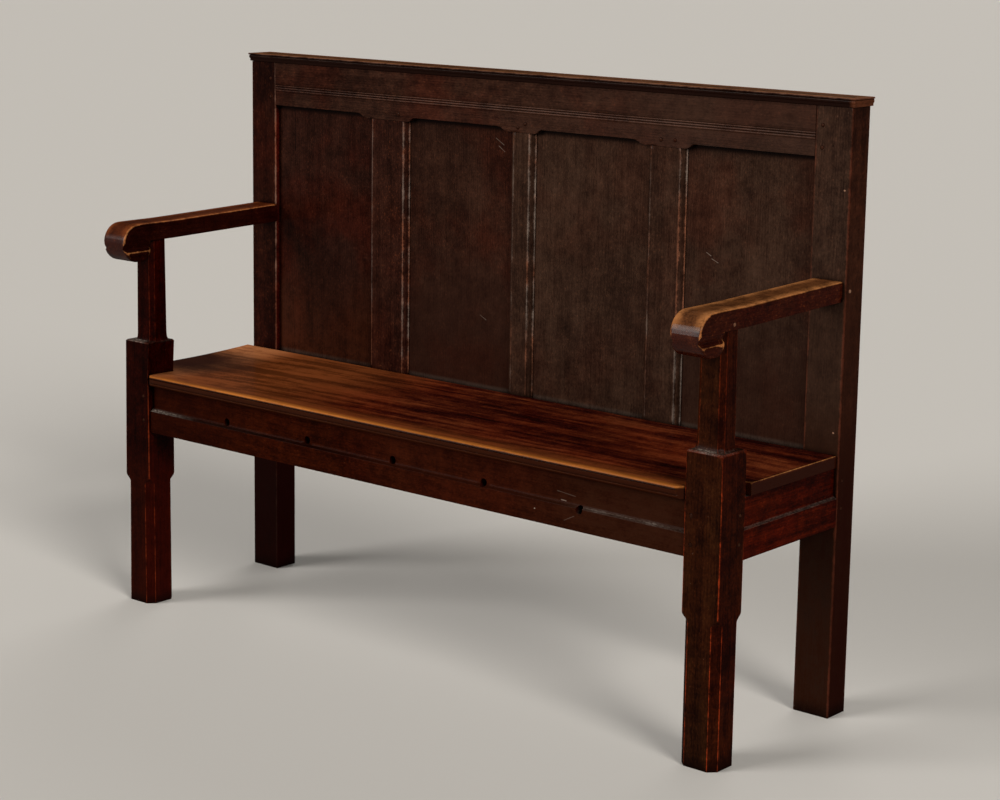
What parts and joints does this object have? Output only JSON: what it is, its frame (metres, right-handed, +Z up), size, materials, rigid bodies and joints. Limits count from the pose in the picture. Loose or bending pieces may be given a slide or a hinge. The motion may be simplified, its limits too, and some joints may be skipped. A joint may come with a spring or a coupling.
{
  "type": "settle bench",
  "caption": "Joined wooden settle bench with a panelled back, moulded cap, scrolled open arms on chamfered posts and a wide plank seat over moulded rails.",
  "frame": {"origin": "on the floor, under the middle of the whole bench", "axes": "+X along the bench to the right as seen from the front, +Y from the front to the back, +Z up"},
  "size_m": [1.453, 0.4705, 1.0795],
  "materials": {
    "frame": "dark brown oak, waxed, red-brown cast, worn arrises",
    "panel": "dark brown oak panels, waxed, faint vertical streaks",
    "seat": "warm brown oak plank, polished by use",
    "arm": "red-brown oak, polished by hands, golden worn edges",
    "peg": "riven oak pegs, slightly paler end grain"
  },
  "bodies": {
    "root": {"arm_left": "arm", "arm_right": "arm", "bottom_rail": "frame", "cap": "frame", "front_post_left": "frame", "front_post_right": "frame", "front_seat_rail": "frame", "muntin_1": "frame", "muntin_2": "frame", "muntin_3": "frame", "panel_1": "panel", "panel_2": "panel", "panel_3": "panel", "panel_4": "panel", "peg_arm_left_back": "peg", "peg_arm_left_front": "peg", "peg_arm_right_back": "peg", "peg_arm_right_front": "peg", "peg_bottom_rail_left_1": "peg", "peg_bottom_rail_left_2": "peg", "peg_bottom_rail_right_1": "peg", "peg_bottom_rail_right_2": "peg", "peg_front_rail_left_1": "peg", "peg_front_rail_left_2": "peg", "peg_front_rail_right_1": "peg", "peg_front_rail_right_2": "peg", "peg_muntin_foot_1": "peg", "peg_muntin_foot_2": "peg", "peg_muntin_foot_3": "peg", "peg_muntin_top_1": "peg", "peg_muntin_top_2": "peg", "peg_muntin_top_3": "peg", "peg_muntin_top_4": "peg", "peg_muntin_top_5": "peg", "peg_side_rail_left_back_1": "peg", "peg_side_rail_left_back_2": "peg", "peg_side_rail_left_front_1": "peg", "peg_side_rail_left_front_2": "peg", "peg_side_rail_right_back_1": "peg", "peg_side_rail_right_back_2": "peg", "peg_side_rail_right_front_1": "peg", "peg_side_rail_right_front_2": "peg", "peg_top_rail_left_1": "peg", "peg_top_rail_left_2": "peg", "peg_top_rail_right_1": "peg", "peg_top_rail_right_2": "peg", "seat_board": "seat", "seat_ledger": "frame", "side_seat_rail_left": "frame", "side_seat_rail_right": "frame", "stile_left": "frame", "stile_right": "frame", "top_rail": "frame"}
  },
  "joints": []
}
